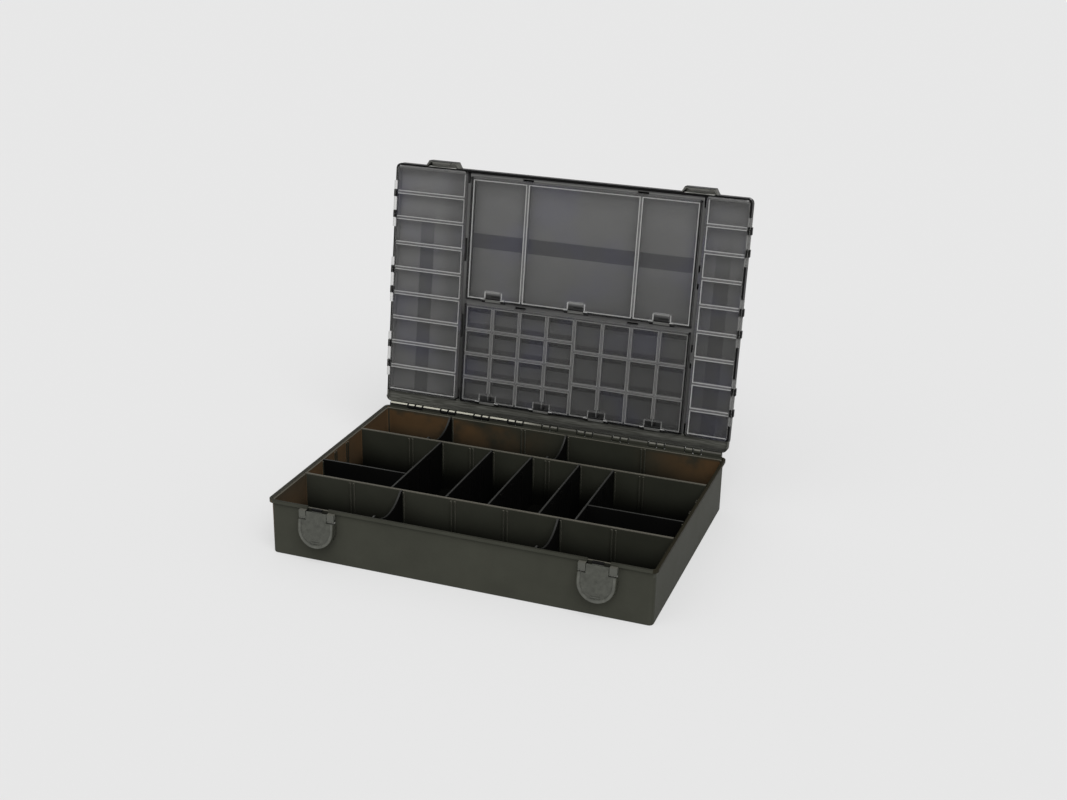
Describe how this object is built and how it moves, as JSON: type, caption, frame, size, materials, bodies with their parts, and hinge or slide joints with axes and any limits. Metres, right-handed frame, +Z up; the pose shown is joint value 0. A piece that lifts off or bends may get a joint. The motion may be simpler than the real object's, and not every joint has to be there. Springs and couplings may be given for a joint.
{
  "type": "tackle box",
  "caption": "Flat hinged tackle box: divided tray with removable dividers, and a shallow divided lid whose compartments have smoked snap covers; two front latches.",
  "frame": {"origin": "middle of the tray's underside", "axes": "+X along the long side, the latches face -Y, +Z up"},
  "size_m": [0.364, 0.2994, 0.306],
  "materials": {
    "body_plastic": "smooth moulded, dark olive grey",
    "divider_plastic": "smooth moulded, near black",
    "latch_plastic": "satin, warm grey",
    "smoked_cover": "clear smoked grey",
    "steel": "drawn wire"
  },
  "bodies": {
    "tray": {"tray": "body_plastic", "hinge_rod_left": "steel", "hinge_rod_right": "steel", "latch_pin_left": "steel", "latch_pin_right": "steel"},
    "lid": {"lid": "body_plastic", "lid_top_rail": "body_plastic", "lid_panel": "body_plastic", "left_lid_walls": "body_plastic", "right_lid_walls": "body_plastic", "upper_lid_walls": "body_plastic", "lower_lid_walls": "body_plastic", "hood_left": "body_plastic", "hood_right": "body_plastic"},
    "left_cover": {"left_cover": "smoked_cover"},
    "right_cover": {"right_cover": "smoked_cover"},
    "upper_cover": {"upper_cover": "smoked_cover"},
    "lower_cover": {"lower_cover": "smoked_cover"},
    "latch_left": {"latch_left": "latch_plastic"},
    "latch_right": {"latch_right": "latch_plastic"},
    "cross_divider_1": {"cross_divider_1": "divider_plastic"},
    "cross_divider_2": {"cross_divider_2": "divider_plastic"},
    "cross_divider_3": {"cross_divider_3": "divider_plastic"},
    "cross_divider_4": {"cross_divider_4": "divider_plastic"},
    "cross_divider_5": {"cross_divider_5": "divider_plastic"},
    "short_divider_left": {"short_divider_left": "divider_plastic"},
    "short_divider_right": {"short_divider_right": "divider_plastic"},
    "front_divider_left": {"front_divider_left": "divider_plastic"},
    "front_divider_right": {"front_divider_right": "divider_plastic"},
    "back_divider_left": {"back_divider_left": "divider_plastic"},
    "back_divider_right": {"back_divider_right": "divider_plastic"}
  },
  "joints": [
    {"name": "lid_hinge", "type": "hinge", "parent": "tray", "child": "lid", "pos_m": [0, 0.1241, 0.0547], "axis": [-1, 0, 0], "range_deg": [-97.6, 0]},
    {"name": "left_cover_hinge", "type": "hinge", "parent": "lid", "child": "left_cover", "pos_m": [-0.18, 0.14316, 0.18316], "axis": [0, -0.1323, -0.9912], "range_deg": [0, 110]},
    {"name": "right_cover_hinge", "type": "hinge", "parent": "lid", "child": "right_cover", "pos_m": [0.18, 0.14316, 0.18316], "axis": [0, 0.1323, 0.9912], "range_deg": [0, 110]},
    {"name": "upper_cover_hinge", "type": "hinge", "parent": "lid", "child": "upper_cover", "pos_m": [0.01705, 0.14192, 0.17389], "axis": [1, 0, 0], "range_deg": [0, 95]},
    {"name": "lower_cover_hinge", "type": "hinge", "parent": "lid", "child": "lower_cover", "pos_m": [0.01705, 0.12799, 0.06952], "axis": [1, 0, 0], "range_deg": [0, 70]},
    {"name": "latch_left_pivot", "type": "hinge", "parent": "tray", "child": "latch_left", "pos_m": [-0.1298, -0.1244, 0.0446], "axis": [-1, 0, 0], "range_deg": [-7.5, 15]},
    {"name": "latch_right_pivot", "type": "hinge", "parent": "tray", "child": "latch_right", "pos_m": [0.1298, -0.1244, 0.0446], "axis": [-1, 0, 0], "range_deg": [-7.5, 15]},
    {"name": "cross_divider_1_lift", "type": "slide", "parent": "tray", "child": "cross_divider_1", "axis": [0, 0, 1], "range_m": [0, 0.05]},
    {"name": "cross_divider_2_lift", "type": "slide", "parent": "tray", "child": "cross_divider_2", "axis": [0, 0, 1], "range_m": [0, 0.05]},
    {"name": "cross_divider_3_lift", "type": "slide", "parent": "tray", "child": "cross_divider_3", "axis": [0, 0, 1], "range_m": [0, 0.05]},
    {"name": "cross_divider_4_lift", "type": "slide", "parent": "tray", "child": "cross_divider_4", "axis": [0, 0, 1], "range_m": [0, 0.05]},
    {"name": "cross_divider_5_lift", "type": "slide", "parent": "tray", "child": "cross_divider_5", "axis": [0, 0, 1], "range_m": [0, 0.05]},
    {"name": "short_divider_left_lift", "type": "slide", "parent": "tray", "child": "short_divider_left", "axis": [0, 0, 1], "range_m": [0, 0.05]},
    {"name": "short_divider_right_lift", "type": "slide", "parent": "tray", "child": "short_divider_right", "axis": [0, 0, 1], "range_m": [0, 0.05]},
    {"name": "front_divider_left_lift", "type": "slide", "parent": "tray", "child": "front_divider_left", "axis": [0, 0, 1], "range_m": [0, 0.05]},
    {"name": "front_divider_right_lift", "type": "slide", "parent": "tray", "child": "front_divider_right", "axis": [0, 0, 1], "range_m": [0, 0.05]},
    {"name": "back_divider_left_lift", "type": "slide", "parent": "tray", "child": "back_divider_left", "axis": [0, 0, 1], "range_m": [0, 0.05]},
    {"name": "back_divider_right_lift", "type": "slide", "parent": "tray", "child": "back_divider_right", "axis": [0, 0, 1], "range_m": [0, 0.018]}
  ]
}
